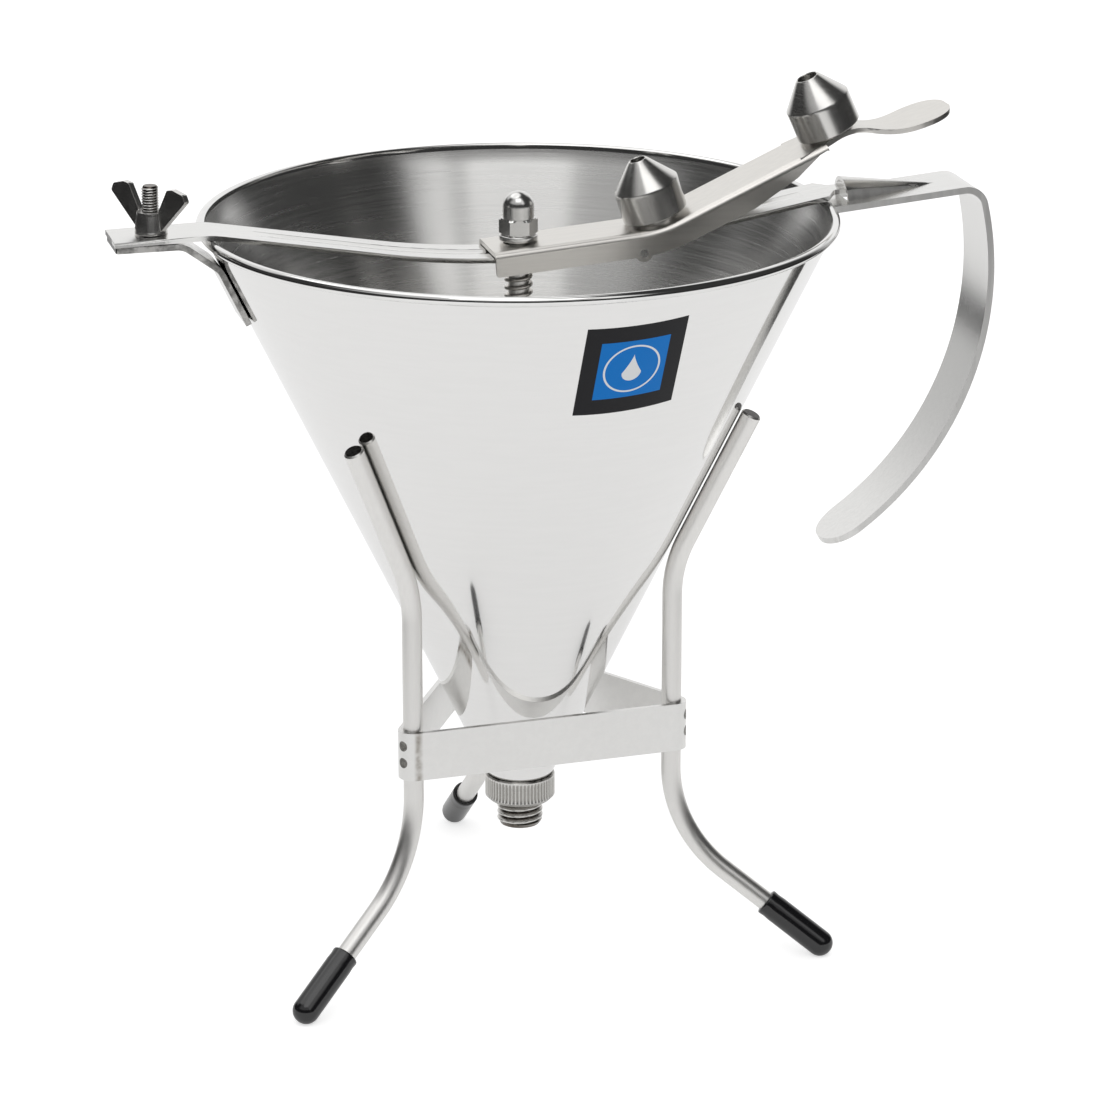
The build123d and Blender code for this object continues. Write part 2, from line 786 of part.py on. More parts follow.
with BuildPart() as piston_rod:
    with BuildSketch(Plane.XY.offset(rod_base)):
        Circle(rod_r)
    extrude(amount=rod_top - rod_base)
    with BuildSketch(Plane.XZ):
        with Locations((0, pin_z)):
            Circle(cross_pin_dia / 2)
    extrude(amount=rod_dia, both=True, mode=Mode.SUBTRACT)
finish(piston_rod, "piston_rod")

with BuildPart() as valve_plug:
    with BuildSketch(Plane.XZ):
        with BuildLine():
            Polyline(
                (0, plug_base),
                (rod_r, plug_base),
                (plug_r, plug_shoulder),
                (plug_r, plug_top - plug_chamfer),
                (plug_r - plug_chamfer, plug_top),
                (rod_r, plug_top),
                (rod_r, rod_base),
                (0, rod_base),
                close=True,
            )
        make_face()
    revolve(axis=Axis.Z)
finish(valve_plug, "valve_plug")

with BuildPart() as rod_washer:
    with BuildSketch(Plane.XY.offset(washer_base_z)):
        Circle(washer_dia / 2)
        Circle(rod_r, mode=Mode.SUBTRACT)
    extrude(amount=washer_thick)
    chamfer(edges().filter_by(GeomType.CIRCLE).sort_by(SortBy.RADIUS)[-2:], length=washer_chamfer)
finish(rod_washer, "rod_washer")

nut_corner_r = nut_flats / 2 / cos(radians(30))
nut_hex_top = nut_z + nut_hex_height
nut_top = nut_z + nut_height
dome_r = nut_dome_dia / 2

with BuildPart() as cap_nut:
    with BuildSketch(Plane.XY.offset(nut_z)):
        RegularPolygon(nut_flats / 2, 6, major_radius=False, rotation=-10)
    extrude(amount=nut_hex_height)
    with BuildSketch(Plane.XZ):
        with BuildLine():
            Polyline(
                (0, nut_z),
                (nut_flats / 2, nut_z),
                (nut_corner_r, nut_z + nut_chamfer),
                (nut_corner_r, nut_hex_top - nut_chamfer),
                (nut_flats / 2, nut_hex_top),
                (0, nut_hex_top),
                close=True,
            )
        make_face()
    revolve(axis=Axis.Z, mode=Mode.INTERSECT)
    with BuildSketch(Plane.XZ):
        with BuildLine():
            Polyline((0, nut_top), (0, nut_hex_top), (dome_r, nut_hex_top), (dome_r, nut_top - dome_r))
            CenterArc((0, nut_top - dome_r), dome_r, 0, 90)
        make_face()
    revolve(axis=Axis.Z)
    with BuildSketch(Plane.XY.offset(nut_z)):
        Circle(rod_r)
    extrude(amount=rod_top - nut_z, mode=Mode.SUBTRACT)
finish(cap_nut, "cap_nut")

coil_r = (spring_dia - spring_wire) / 2


def coil_point(run):
    """Point on the spring's middle line after so many straight runs."""
    turn = 2 * pi * run / spring_runs
    rise = spring_pitch * run / spring_runs
    return (coil_r * cos(turn), coil_r * sin(turn), spring_base + spring_wire / 2 + rise)


with BuildPart() as return_spring:
    with BuildLine() as coil:
        Polyline(*[coil_point(run) for run in range(spring_turns * spring_runs + 1)])
    with BuildSketch(Plane(origin=coil_point(0), x_dir=(0, 0, 1), z_dir=coil.line % 0)):
        RegularPolygon(spring_wire / 2, 6)
    sweep(path=coil.line, transition=Transition.RIGHT)
finish(return_spring, "return_spring")

with BuildPart() as spring_seat:
    with BuildSketch(Plane.XY.offset(spring_base - seat_thick)):
        Circle(seat_dia / 2)
        Circle(rod_r, mode=Mode.SUBTRACT)
    extrude(amount=seat_thick)
finish(spring_seat, "spring_seat")

with BuildPart() as spring_pin:
    with BuildSketch(Plane.XZ.offset(-cross_pin_length / 2)):
        with Locations((0, pin_z)):
            Circle(cross_pin_dia / 2)
    extrude(amount=cross_pin_length)
finish(spring_pin, "spring_pin")

# ---- Stand --------------------------------------------------------------------------------------
leg_top_z = rim_height - leg_top_drop
lean_off = (leg_r + rest_gap) / cos(cone_lean)
knee_z = spout_height + (waist_r - lean_off - spout_r) / cone_rate
splay = atan((splay_z - foot_z) / (foot_r - waist_r))


def leg_plane(angle):
    """Upright plane through the funnel axis: x outwards, y up."""
    a = radians(angle)
    return Plane(origin=(0, 0, 0), x_dir=(cos(a), sin(a), 0), z_dir=(sin(a), -cos(a), 0))


def foot_place(angle):
    """Plane across the foot at the centre of the cap's round end, facing along the foot."""
    a = radians(angle)
    along = (cos(a) * cos(splay), sin(a) * cos(splay), -sin(splay))
    return Plane(
        origin=(foot_r * cos(a), foot_r * sin(a), foot_z),
        x_dir=(-sin(a), cos(a), 0),
        z_dir=along,
    )


def leg(angle):
    """Bent rod: leans on the cone, upright at the band, splayed foot."""
    end_r = foot_r - cos(splay) * leg_inset
    end_z = foot_z + sin(splay) * leg_inset
    with BuildPart() as built:
        with BuildLine(leg_plane(angle)) as path:
            FilletPolyline(
                (cone_r(leg_top_z) + lean_off, leg_top_z),
                (waist_r, knee_z),
                (waist_r, splay_z),
                (end_r, end_z),
                radius=[leg_top_bend_r, leg_foot_bend_r],
            )
        with BuildSketch(Plane(origin=path.line @ 0, z_dir=path.line % 0)):
            Circle(leg_r)
        sweep(path=path.line)
        chamfer(built.edges().filter_by(GeomType.CIRCLE).sort_by(Axis.Z)[-1], length=leg_chamfer)
    return built


def foot_cap(angle):
    """Dipped cap with a round end, worn flat where it stands."""
    place = foot_place(angle)
    cap_r = cap_dia / 2
    mouth = cap_r - cap_length
    turns = [pi / 2 * step / cap_steps for step in range(cap_steps + 1)]
    with BuildPart() as built:
        with BuildSketch(Plane(place.origin, x_dir=place.x_dir, z_dir=-place.y_dir)):
            with BuildLine():
                Polyline(
                    (0, -leg_inset),
                    (leg_r, -leg_inset),
                    (leg_r, mouth),
                    (cap_r - cap_chamfer, mouth),
                    (cap_r, mouth + cap_chamfer),
                    *[(cap_r * cos(turn), cap_r * sin(turn)) for turn in turns],
                    close=True,
                )
            make_face()
        revolve(axis=Axis(place.origin, place.z_dir))
        split(bisect_by=Plane.XY, keep=Keep.TOP)
    return built


for side, angle in leg_angles.items():
    finish(leg(angle), f"leg_{side}")
    finish(foot_cap(angle), f"foot_cap_{side}")

leg_spots = [(waist_r * cos(radians(a)), waist_r * sin(radians(a))) for a in leg_angles.values()]

with BuildSketch() as band_inside:
    with Locations(*leg_spots):
        Circle(leg_r)
    make_hull()

with BuildPart() as stand_band:
    with BuildSketch(Plane.XY.offset(band_base_z)):
        add(band_inside.sketch)
        offset(amount=band_thick, kind=Kind.ARC)
        add(band_inside.sketch, mode=Mode.SUBTRACT)
    extrude(amount=band_height)
finish(stand_band, "stand_band")
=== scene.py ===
import json
from math import acos, atan, atan2, cos, hypot, pi, radians, sin, tan

import bmesh
import bpy
from mathutils import Matrix, Vector

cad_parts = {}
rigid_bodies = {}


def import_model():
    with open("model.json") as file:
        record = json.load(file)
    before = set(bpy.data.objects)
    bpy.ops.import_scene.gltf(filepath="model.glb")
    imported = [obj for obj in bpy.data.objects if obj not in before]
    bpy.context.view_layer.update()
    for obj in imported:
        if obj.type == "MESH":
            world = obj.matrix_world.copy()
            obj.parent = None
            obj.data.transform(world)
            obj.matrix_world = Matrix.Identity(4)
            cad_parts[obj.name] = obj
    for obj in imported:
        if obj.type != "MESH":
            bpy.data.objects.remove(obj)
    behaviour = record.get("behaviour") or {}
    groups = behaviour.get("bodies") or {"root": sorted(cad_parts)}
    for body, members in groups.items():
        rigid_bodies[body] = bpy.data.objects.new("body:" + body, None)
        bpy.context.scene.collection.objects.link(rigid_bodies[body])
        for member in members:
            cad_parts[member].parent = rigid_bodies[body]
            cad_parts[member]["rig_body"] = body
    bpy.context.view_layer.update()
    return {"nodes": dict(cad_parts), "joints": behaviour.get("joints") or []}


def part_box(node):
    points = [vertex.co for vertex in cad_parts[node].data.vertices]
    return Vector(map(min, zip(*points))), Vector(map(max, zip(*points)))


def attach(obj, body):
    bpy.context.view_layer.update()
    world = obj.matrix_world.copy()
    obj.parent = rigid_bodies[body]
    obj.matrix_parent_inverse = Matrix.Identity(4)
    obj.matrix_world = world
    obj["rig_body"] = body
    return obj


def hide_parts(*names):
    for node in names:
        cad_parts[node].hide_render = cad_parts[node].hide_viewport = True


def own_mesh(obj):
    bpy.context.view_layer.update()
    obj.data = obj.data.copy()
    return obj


# Looks of the piston funnel: high-resolution turned and bent pieces, rounded plates, steel finishes.
# Sizes are in millimetres, in the frame of the CAD model, and become metres where a mesh is made.

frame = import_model()
nodes = frame["nodes"]
scene = bpy.context.scene
MM = 0.001

# ---- Camera -------------------------------------------------------------------------------------
CAMERA_AZIMUTH = radians(-14.7)
CAMERA_ELEVATION = radians(18.276)
CAMERA_ROLL = radians(-0.03)
CAMERA_DISTANCE = 1.3571
CAMERA_TARGET = Vector((0.0096, 0.0, 0.1235))
CAMERA_LENS = 146.7
SENSOR = 36.0

back_way = Vector((
    sin(CAMERA_AZIMUTH) * cos(CAMERA_ELEVATION),
    -cos(CAMERA_AZIMUTH) * cos(CAMERA_ELEVATION),
    sin(CAMERA_ELEVATION),
))
camera = bpy.data.objects.new("camera", bpy.data.cameras.new("camera"))
camera.data.lens = CAMERA_LENS
camera.data.sensor_width = SENSOR
camera.location = CAMERA_TARGET + back_way * CAMERA_DISTANCE
camera.rotation_mode = "QUATERNION"
camera_roll = Matrix.Rotation(CAMERA_ROLL, 3, "Z").to_quaternion()
camera.rotation_quaternion = (-back_way).to_track_quat("-Z", "Y") @ camera_roll
scene.collection.objects.link(camera)
scene.camera = camera
scene.view_settings.view_transform = "Standard"


# ---- Node trees ---------------------------------------------------------------------------------
class Tree:
    """Short calls for building one node tree."""

    def __init__(self, tree):
        self.tree = tree
        tree.nodes.clear()

    def add(self, kind, inputs=None, **settings):
        node = self.tree.nodes.new("ShaderNode" + kind)
        for key, value in settings.items():
            setattr(node, key, value)
        for key, value in (inputs or {}).items():
            if isinstance(value, bpy.types.NodeSocket):
                self.tree.links.new(value, node.inputs[key])
            else:
                node.inputs[key].default_value = value
        return node

    def math(self, operation, a, b=0.0, c=0.0):
        return self.add("Math", {0: a, 1: b, 2: c}, operation=operation).outputs[0]

    def between(self, value, low, high, at_low=0.0, at_high=1.0):
        """Smooth step of value from low to high."""
        inputs = {0: value, 1: low, 2: high, 3: at_low, 4: at_high}
        return self.add("MapRange", inputs, interpolation_type="SMOOTHSTEP").outputs[0]

    def window(self, value, rise_start, rise_end, fall_start, fall_end):
        """1 from rise_end to fall_start, with smooth flanks."""
        fall = self.between(value, fall_start, fall_end, 1.0, 0.0)
        return self.math("MULTIPLY", self.between(value, rise_start, rise_end), fall)

    def mix(self, factor, a, b):
        node = self.add("Mix", {0: factor}, data_type="RGBA")
        for socket, value in ((node.inputs[6], a), (node.inputs[7], b)):
            if isinstance(value, bpy.types.NodeSocket):
                self.tree.links.new(value, socket)
            else:
                socket.default_value = value
        return node.outputs[2]

    def dot(self, vector, way):
        return self.add("VectorMath", {0: vector, 1: way}, operation="DOT_PRODUCT").outputs["Value"]

    def noise(self, vector, scale, detail=2.0, roughness=0.5):
        inputs = {"Vector": vector, "Scale": scale, "Detail": detail, "Roughness": roughness}
        return self.add("TexNoise", inputs).outputs[0]

    def stretched(self, vector, scales):
        return self.add("Mapping", {"Vector": vector, "Scale": scales}).outputs[0]


# ---- World, floor and lamps ---------------------------------------------------------------------
# Azimuths are in degrees to the right of the camera, and heights are sines of the elevation. Two
# numbers are the start and end of a fade, and four are a window's rise and fall.
BACKDROP = 0.95                         # behind the object, as the metal mirrors it
BACKDROP_AZIMUTH = (122, 152)           # on both sides
BACKDROP_HEIGHT = (0.6, 0.8)
ROOM = 0.035                            # dark studio at the sides and round the camera
FRONT = 0.50                            # soft light above the camera
FRONT_AZIMUTH = (-85, -50, 28, 62)
FRONT_HEIGHT = (0.36, 0.47)
STRIP = 0.55                            # strip light to the right of the camera, added to it
STRIP_AZIMUTH = (27, 35, 44, 53)
STRIP_HEIGHT = (0.3, 0.45, 0.8, 0.9)
CEILING = 1.2                           # round soft light overhead, a little behind and to the left
CEILING_WAY = (-129, 72)                # its azimuth and its elevation
CEILING_EDGE = (30, 20)                 # degrees from its middle
REAR_WALL = 0.7                         # pale wall behind on the left, above the dark one
REAR_WALL_AZIMUTH = (-118, -96)
REAR_WALL_HEIGHT = (0.36, 0.48, 0.75, 0.9)
FILL = 0.7                              # on matt surfaces
FLOOR_COLOUR = (0.8, 0.8, 0.8, 1.0)
FLOOR_DARK = (0.02, 0.02, 0.02, 1.0)    # beside the sweep, as the metal mirrors it
FLOOR_WHITE = 0.6                       # own light of the floor, as the camera sees it
FLOOR_GLOW = 0.32                       # own light of the sweep, as the metal mirrors it
FLOOR_R = 1.6
SWEEP = (-0.52, -0.40, 0.50, 0.62)      # window of the white sweep, in metres across the view
LAMP_AIM = Vector((0, 0, 0.15))

away = (-sin(CAMERA_AZIMUTH), cos(CAMERA_AZIMUTH), 0.0)
aside = (cos(CAMERA_AZIMUTH), sin(CAMERA_AZIMUTH), 0.0)

scene.world = bpy.data.worlds.new("studio")
scene.world.use_nodes = True
t = Tree(scene.world.node_tree)
way = t.add("TexCoord").outputs["Generated"]
path = t.add("LightPath").outputs
height = t.dot(way, (0, 0, 1))
towards = t.math("MULTIPLY", t.dot(way, away), -1.0)
azimuth = t.math("DEGREES", t.math("ARCTAN2", t.dot(way, aside), towards))
front = t.math("MULTIPLY", t.window(azimuth, *FRONT_AZIMUTH), t.between(height, *FRONT_HEIGHT))
strip = t.math("MULTIPLY", t.window(azimuth, *STRIP_AZIMUTH), t.window(height, *STRIP_HEIGHT))
behind = t.between(t.math("ABSOLUTE", azimuth), *BACKDROP_AZIMUTH)
behind = t.math("MULTIPLY", behind, t.between(height, *BACKDROP_HEIGHT, 1.0, 0.0))
ceiling_azimuth, ceiling_height = (radians(a) for a in CEILING_WAY)
overhead = Vector(away) * -cos(ceiling_azimuth) + Vector(aside) * sin(ceiling_azimuth)
overhead = overhead * cos(ceiling_height) + Vector((0, 0, sin(ceiling_height)))
ceiling = t.between(t.dot(way, overhead), *(cos(radians(a)) for a in CEILING_EDGE))
pale_wall = t.between(azimuth, *REAR_WALL_AZIMUTH, 1.0, 0.0)
pale_wall = t.math("MULTIPLY", pale_wall, t.window(height, *REAR_WALL_HEIGHT))
in_metal = t.math("MULTIPLY_ADD", front, FRONT, ROOM)
in_metal = t.math("MULTIPLY_ADD", strip, STRIP, in_metal)
in_metal = t.math("MULTIPLY_ADD", ceiling, CEILING, in_metal)
behind = t.math("MULTIPLY", behind, BACKDROP)
rear = t.math("MAXIMUM", behind, t.math("MULTIPLY", pale_wall, REAR_WALL))
in_metal = t.math("ADD", in_metal, rear)
seen = t.math("MAXIMUM", path["Is Camera Ray"], path["Is Transmission Ray"])
strength = t.add("Mix", {0: path["Is Glossy Ray"], 2: FILL, 3: in_metal}).outputs[0]
strength = t.add("Mix", {0: seen, 2: strength, 3: 1.0}).outputs[0]
background = t.add("Background", {"Color": (1, 1, 1, 1), "Strength": strength})
t.tree.links.new(background.outputs[0], t.add("OutputWorld").inputs[0])

floor_mesh = bpy.data.meshes.new("floor")
bm = bmesh.new()
bmesh.ops.create_circle(bm, cap_ends=True, radius=FLOOR_R, segments=96)
bm.to_mesh(floor_mesh)
bm.free()
floor = bpy.data.objects.new("floor", floor_mesh)
scene.collection.objects.link(floor)
floor_material = bpy.data.materials.new("floor")
floor_material.use_nodes = True
t = Tree(floor_material.node_tree)
place = t.add("TexCoord").outputs["Object"]
path = t.add("LightPath").outputs
sweep = t.window(t.dot(place, aside), *SWEEP)
seen = t.math("MAXIMUM", path["Is Camera Ray"], path["Is Transmission Ray"])
mirrored = path["Is Glossy Ray"]
dark = t.math("MULTIPLY", t.math("SUBTRACT", 1.0, sweep), mirrored)
glow = t.math("MULTIPLY", t.math("MULTIPLY", mirrored, sweep), FLOOR_GLOW)
floor_shader = t.add("BsdfPrincipled", {
    "Base Color": t.mix(dark, FLOOR_COLOUR, FLOOR_DARK),
    "Roughness": 0.9,
    "Specular IOR Level": 0.0,
    "Emission Color": (1, 1, 1, 1),
    "Emission Strength": t.math("MULTIPLY_ADD", seen, FLOOR_WHITE, glow),
})
t.tree.links.new(floor_shader.outputs[0], t.add("OutputMaterial").inputs[0])
floor_mesh.materials.append(floor_material)


def soft_box(name, azimuth, elevation, distance, width, height, glow):
    """Area lamp that faces the object, with its azimuth from the camera's side and its radiance."""
    a = CAMERA_AZIMUTH + radians(azimuth)
    e = radians(elevation)
    from_object = Vector((sin(a) * cos(e), -cos(a) * cos(e), sin(e)))
    lamp = bpy.data.lights.new(name, "AREA")
    lamp.shape = "RECTANGLE"
    lamp.size = width
    lamp.size_y = height
    lamp.energy = glow * pi * width * height
    holder = bpy.data.objects.new(name, lamp)
    holder.location = LAMP_AIM + from_object * distance
    holder.rotation_mode = "QUATERNION"
    holder.rotation_quaternion = (-from_object).to_track_quat("-Z", "Y")
    scene.collection.objects.link(holder)


soft_box("key", azimuth=0, elevation=58, distance=1.6, width=1.0, height=0.8, glow=1.1)


# ---- Sizes of threads and stand, in millimetres -------------------------------------------------
LEG_ANGLES = {"left": -146.8, "right": -26.5, "rear": 89.0}
WAIST_R = 47.05
waist = {
    side: Vector((WAIST_R * cos(radians(a)), WAIST_R * sin(radians(a)), 0))
    for side, a in LEG_ANGLES.items()
}
band_way = (waist["right"] - waist["left"]).normalized()     # along the band's front
RING_R = 10.7
FLUTE_DEPTH = 0.28
STUB_R = 7.0
STUB_DEPTH = 1.1
STUD_R = 2.5
STUD_DEPTH = 0.42
stud_low, stud_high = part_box("clamp_stud")
STUD_X = (stud_low.x + stud_high.x) / 2 / MM


# ---- Materials ----------------------------------------------------------------------------------
ROOT_SHADE = (0.10, 0.085, 0.07, 1.0)     # painted shade in the roots of the threads
FLUTE_SHADE = (0.34, 0.33, 0.31, 1.0)    # painted shade in the knurl's flutes
STAIN = (0.30, 0.27, 0.235, 1.0)         # from welding
STAIN_HALF = 1.7                         # millimetres, along the band
STAIN_OFF = 0.4                          # of its middle from the left leg's, the same way
CLOUD_SCALE = 35.0                       # of the noise that clouds the roughness
SMOKE_SCALE = 300.0                      # of the noise that breaks up the stain
TURN_MAP = "turn"                        # UV map of a turned surface: round it, and along its profile
LABEL_MAP = "label"


def material(name):
    made = bpy.data.materials.new(name)
    made.use_nodes = True
    return made, Tree(made.node_tree)


def close(t, shader):
    t.tree.links.new(shader.outputs[0], t.add("OutputMaterial").inputs[0])


def steel(name, colour, roughness, grain, grain_scale, tone=0.05, spread=0.06, relief=0.0, across=0.0,
          root=None, root_shade=ROOT_SHADE, stain=None):
    """Stainless steel. grain stretches the noise along each axis; it varies the colour by tone and
    the roughness by spread, and relief is its height in millimetres. across is the anisotropy across
    the grain of a turned surface. root = (x, low, high) paints shade in the colour root_shade, from
    radius high about x down to low. stain = (way, middle) is an upright streak of heat tint, middle
    millimetres along way."""
    made, t = material(name)
    place = t.add("TexCoord").outputs["Object"]
    lines = t.noise(t.stretched(place, grain), grain_scale, 3.0, 0.6)
    cloud = t.noise(place, CLOUD_SCALE, 2.0)
    rough = t.math("MULTIPLY_ADD", t.math("SUBTRACT", lines, 0.5), spread * 2, roughness)
    rough = t.math("MULTIPLY_ADD", t.math("SUBTRACT", cloud, 0.5), spread, rough)
    darker = tuple(c * (1 - tone) for c in colour)
    tint = t.mix(t.between(lines, 0.35, 0.65), (*darker, 1), (*colour, 1))
    # painted shade: the colour darkens from radius high down to low, in thread roots and knurl flutes
    if root:
        x, low, high = root
        from_axis = t.add("VectorMath", {0: place, 1: (x * MM, 0, 0)}, operation="SUBTRACT").outputs[0]
        flat = t.add("VectorMath", {0: from_axis, 1: (1, 1, 0)}, operation="MULTIPLY").outputs[0]
        radius = t.add("VectorMath", {0: flat}, operation="LENGTH").outputs["Value"]
        tint = t.mix(t.between(radius, low * MM, high * MM), root_shade, tint)
    if stain:
        way, middle = stain
        off = t.math("ABSOLUTE", t.math("SUBTRACT", t.dot(place, way), middle * MM))
        smoke = t.between(off, 0.0, STAIN_HALF * MM, 1.0, 0.0)
        patches = t.between(t.noise(place, SMOKE_SCALE), 0.3, 0.65, 0.35, 1.0)
        smoke = t.math("MULTIPLY", smoke, patches)
        tint = t.mix(smoke, tint, STAIN)
    inputs = {
        "Metallic": 1.0,
        "Base Color": tint,
        "Roughness": t.math("MAXIMUM", rough, 0.02),
        "Anisotropic": across,
    }
    if across:
        inputs["Tangent"] = t.add("Tangent", direction_type="UV_MAP", uv_map=TURN_MAP).outputs[0]
        inputs["Anisotropic Rotation"] = 0.25
    if relief:
        bump = t.add("Bump", {"Height": lines, "Distance": relief * MM, "Strength": 1.0})
        inputs["Normal"] = bump.outputs[0]
    close(t, t.add("BsdfPrincipled", inputs))
    return made


SHEET = (0.82, 0.815, 0.805)
SATIN = (0.79, 0.785, 0.77)
DRAWN = (0.80, 0.79, 0.77)
MACHINED = (0.70, 0.69, 0.67)
PLATED = (0.74, 0.735, 0.72)
bowl_outside = steel("bowl_outside", SHEET, 0.06, (1, 1, 12), 60.0, tone=0.01, spread=0.01)
bowl_inside = steel(
    "bowl_inside", SATIN, 0.25, (1, 1, 60), 25.0, tone=0.06, spread=0.08, relief=0.003, across=0.8,
)
rim_bright = steel("rim_bright", SHEET, 0.08, (1, 1, 1), 60.0, spread=0.02)
strap_steel = steel("strap_brushed", SATIN, 0.22, (2, 40, 40), 25.0, relief=0.003)
lever_steel = steel("lever_satin", (0.76, 0.74, 0.705), 0.32, (2, 30, 30), 25.0, relief=0.003)
band_steel = steel(
    "band_satin", (0.83, 0.825, 0.81), 0.36, (30, 30, 30), 12.0, tone=0.03, relief=0.002,
    stain=(band_way, waist["left"].dot(band_way) + STAIN_OFF),
)
weld_steel = steel("weld_spot", (0.30, 0.29, 0.27), 0.42, (1, 1, 1), 700.0, tone=0.5, spread=0.1)
# painted dark reflection: the legs' cut top ends are coloured near black
painted_dark_end_steel = steel("cut_end_painted_dark", (0.13, 0.125, 0.12), 0.42, (1, 1, 1), 900.0, tone=0.6, spread=0.1)
edge_steel = steel("satin_edge", SATIN, 0.4, (40, 40, 1), 12.0, tone=0.1, spread=0.1)
rough_edge_steel = steel(
    "rough_edge", MACHINED, 0.5, (1, 1, 1), 260.0, tone=0.65, spread=0.15, relief=0.06,
)
rod_steel = steel("rod_drawn", DRAWN, 0.36, (30, 30, 3), 30.0, tone=0.03)
machined_steel = steel("machined_satin", MACHINED, 0.26, (1, 1, 60), 40.0)
turned_steel = steel(
    "turned_satin", (0.72, 0.71, 0.69), 0.25, (1, 1, 60), 90.0, relief=0.0008, across=0.6,
)
stub_steel = steel(
    "stub_thread", MACHINED, 0.26, (1, 1, 60), 40.0, root=(0, STUB_R - STUB_DEPTH, STUB_R), across=0.6,
)
knurl_steel = steel(
    "knurled", (0.74, 0.73, 0.71), 0.26, (1, 1, 60), 40.0,
    root=(0, RING_R - FLUTE_DEPTH, RING_R), root_shade=FLUTE_SHADE, across=0.6,
)
cast_steel = steel(
    "cast_plated", DRAWN, 0.22, (1, 1, 1), 150.0, tone=0.1, spread=0.08, relief=0.01,
)
bright_steel = steel("bright_plated", PLATED, 0.2, (1, 1, 1), 80.0, spread=0.03)
screw_steel = steel(
    "screw_thread", PLATED, 0.16, (1, 1, 1), 80.0, root=(STUD_X, STUD_R - STUD_DEPTH, STUD_R),
)
spring_steel = steel("spring_wire", (0.60, 0.58, 0.55), 0.22, (1, 1, 1), 80.0, spread=0.05)


def vinyl(name):
    """Black dipped vinyl with a wet-looking skin."""
    made, t = material(name)
    place = t.add("TexCoord").outputs["Object"]
    ripple = t.noise(place, 220.0, 2.0)
    bump = t.add("Bump", {"Height": ripple, "Distance": 0.05 * MM, "Strength": 0.6})
    close(t, t.add("BsdfPrincipled", {
        "Base Color": (0.007, 0.007, 0.008, 1),
        "Roughness": t.math("MULTIPLY_ADD", ripple, 0.08, 0.1),
        "Specular IOR Level": 0.75,
        "Normal": bump.outputs[0],
    }))
    return made


def rubber(name):
    made, t = material(name)
    place = t.add("TexCoord").outputs["Object"]
    close(t, t.add("BsdfPrincipled", {
        "Base Color": (0.25, 0.22, 0.18, 1),
        "Roughness": t.math("MULTIPLY_ADD", t.noise(place, 400.0), 0.2, 0.5),
    }))
    return made


LABEL_WIDTH = 30.7
LABEL_HEIGHT = 31.9
PANEL_HALF = 10.4
LABEL_RING = (8.0, 8.6)      # radii
DROP_R = 3.0                 # of its round belly
DROP_DOWN = 1.4              # of the belly's middle below the label's
DROP_TALL = 7.0              # of its tip above the belly's middle
DROP_TAPER = 1.4             # above 1 its flanks are hollow
PRINT_EDGE = 0.1             # softness of the print's edges
LABEL_BLACK = (0.008, 0.008, 0.010, 1)
LABEL_BLUE = (0.0, 0.20, 0.66, 1)
LABEL_WHITE = (0.90, 0.92, 0.94, 1)


def label_print(name):
    """Black sticker with a blue panel, which holds a white ring and a drop."""
    made, t = material(name)
    place = t.add("SeparateXYZ", {0: t.add("UVMap", uv_map=LABEL_MAP).outputs[0]}).outputs
    u = t.math("MULTIPLY", t.math("SUBTRACT", place[0], 0.5), LABEL_WIDTH)
    v = t.math("MULTIPLY", t.math("SUBTRACT", place[1], 0.5), LABEL_HEIGHT)
    sideways = t.math("ABSOLUTE", u)
    reach = t.math("MAXIMUM", sideways, t.math("ABSOLUTE", v))
    panel = t.between(reach, PANEL_HALF, PANEL_HALF + PRINT_EDGE, 1.0, 0.0)
    radius = t.math("SQRT", t.math("MULTIPLY_ADD", u, u, t.math("MULTIPLY", v, v)))
    inner, outer = LABEL_RING
    ring = t.window(radius, inner, inner + PRINT_EDGE, outer, outer + PRINT_EDGE)
    above = t.math("ADD", v, DROP_DOWN)
    belly = t.math("SUBTRACT", DROP_R ** 2, t.math("MULTIPLY", above, above))
    belly = t.math("SQRT", t.math("MAXIMUM", belly, 0.0))
    taper = t.math("MAXIMUM", t.math("MULTIPLY_ADD", above, -1 / DROP_TALL, 1.0), 0.0)
    taper = t.math("MULTIPLY", t.math("POWER", taper, DROP_TAPER), DROP_R)
    flank = t.add("Mix", {0: t.math("GREATER_THAN", above, 0.0), 2: belly, 3: taper}).outputs[0]
    drop = t.between(t.math("SUBTRACT", sideways, flank), -PRINT_EDGE, 0.0, 1.0, 0.0)
    colour = t.mix(panel, LABEL_BLACK, LABEL_BLUE)
    colour = t.mix(t.math("MAXIMUM", ring, drop), colour, LABEL_WHITE)
    looks = {"Base Color": colour, "Roughness": 0.4, "Specular IOR Level": 0.2}
    close(t, t.add("BsdfPrincipled", looks))
    return made


sticker = label_print("sticker")
cap_vinyl = vinyl("cap_vinyl")
seal_rubber = rubber("seal_rubber")


# ---- Mesh making --------------------------------------------------------------------------------
SHARP = radians(32)          # shading breaks at a steeper edge than this
PLATE_SHARP = radians(50)    # the same, for plates
HARD = radians(40)           # a plate's edge is rolled over when it is steeper than this
FLAT = radians(0.2)          # a plate's faces are joined below this
JOIN = 1e-5                  # millimetres: nearer points are one
CAD_JOIN = 2e-4
AXIS_R = 0.001               # of a ring that closes a turned surface on its axis
THREAD_CREST = 1.25          # above 1 the crests are flat


